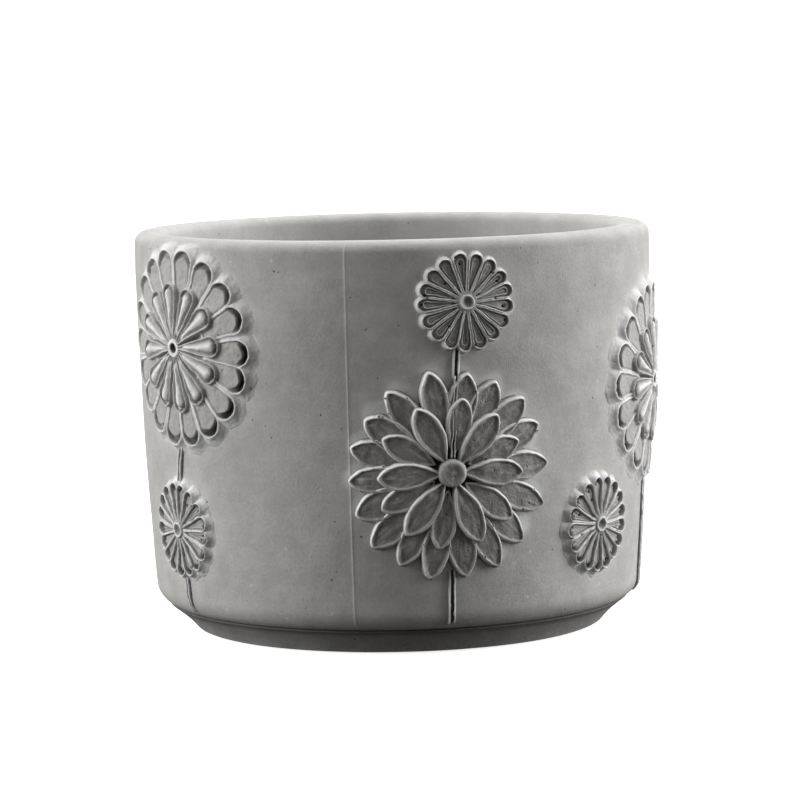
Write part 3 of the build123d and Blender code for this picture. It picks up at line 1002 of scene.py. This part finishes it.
corners = [(FLOOR_HALF * a, FLOOR_HALF * b, 0) for a, b in ((-1, -1), (1, -1), (1, 1), (-1, 1))]
floor = make_object("floor", corners, [(0, 1, 2, 3)])
floor.data.materials.append(paper("floor_paper"))
floor.visible_diffuse = False
floor.visible_glossy = False


def studio_world():
    """White where it is seen past the pot; as light, bright behind, beside and above, and dim in front."""
    world = bpy.data.worlds.new("studio")
    world.use_nodes = True
    nodes, links = world.node_tree.nodes, world.node_tree.links
    lit = nodes["Background"]
    direction = nodes.new("ShaderNodeTexCoord")
    parts = nodes.new("ShaderNodeSeparateXYZ")
    links.new(direction.outputs["Generated"], parts.inputs[0])
    strength = None
    for axis, low, high, least, most in ((1, -0.85, 0.2, 0.14, 1.0), (2, -0.4, 0.1, 0.1, 1.0)):
        span = nodes.new("ShaderNodeMapRange")
        span.interpolation_type = "SMOOTHSTEP"
        for socket, value in zip(span.inputs[1:5], (low, high, least, most)):
            socket.default_value = value
        links.new(parts.outputs[axis], span.inputs[0])
        if strength is None:
            strength = span.outputs[0]
        else:
            strength = maths(nodes, links, "MULTIPLY", strength, span.outputs[0])
    links.new(maths(nodes, links, "MULTIPLY", strength, WORLD_STRENGTH), lit.inputs["Strength"])
    lit.inputs["Color"].default_value = WORLD_TINT
    seen = nodes.new("ShaderNodeBackground")
    seen.inputs["Color"].default_value = (1, 1, 1, 1)
    seen.inputs["Strength"].default_value = SEEN_STRENGTH
    path = nodes.new("ShaderNodeLightPath")
    choice = nodes.new("ShaderNodeMixShader")
    links.new(path.outputs["Is Camera Ray"], choice.inputs[0])
    links.new(lit.outputs[0], choice.inputs[1])
    links.new(seen.outputs[0], choice.inputs[2])
    links.new(choice.outputs[0], nodes["World Output"].inputs[0])
    return world


bpy.context.scene.world = studio_world()


def softbox(name, azimuth, elevation, distance, power):
    """A square studio light that points at the middle of the pot."""
    data = bpy.data.lights.new(name, "AREA")
    data.shape = "RECTANGLE"
    data.size, data.size_y, data.energy = LIGHT_SIZE, LIGHT_SIZE, power
    light = bpy.data.objects.new(name, data)
    a, e = math.radians(azimuth), math.radians(elevation)
    middle = RIM_Z / 2 * MM
    place = (math.sin(a) * math.cos(e), -math.cos(a) * math.cos(e), math.sin(e))
    light.location = [distance * place[0], distance * place[1], middle + distance * place[2]]
    light.rotation_euler = Euler((math.radians(90 - elevation), 0, math.radians(azimuth)))
    bpy.context.scene.collection.objects.link(light)


softbox("right_light", azimuth=92, elevation=14, distance=1.1, power=17.0)
softbox("left_light", azimuth=-80, elevation=14, distance=1.2, power=15.0)
softbox("top_light", azimuth=170, elevation=80, distance=1.1, power=6.0)

# The camera stands in front of the pot; the angles are in degrees and the distances in metres.
CAMERA_DISTANCE = 1.0328
CAMERA_HEIGHT = 0.1748
CAMERA_YAW = 0.078
CAMERA_PITCH = 6.084
CAMERA_ROLL = -1.2
FOCAL_IN_WIDTHS = 4.4244
camera_data = bpy.data.cameras.new("camera")
camera_data.lens = camera_data.sensor_width * FOCAL_IN_WIDTHS
camera_data.clip_start, camera_data.clip_end = 0.05, 20
camera = bpy.data.objects.new("camera", camera_data)
stand = Matrix.Translation((0, -CAMERA_DISTANCE, CAMERA_HEIGHT))
aim = Euler((math.radians(90 - CAMERA_PITCH), 0, math.radians(-CAMERA_YAW))).to_matrix().to_4x4()
camera.matrix_world = stand @ aim @ Matrix.Rotation(math.radians(CAMERA_ROLL), 4, "Z")
bpy.context.scene.collection.objects.link(camera)
bpy.context.scene.camera = camera
bpy.context.scene.view_settings.view_transform = "Standard"
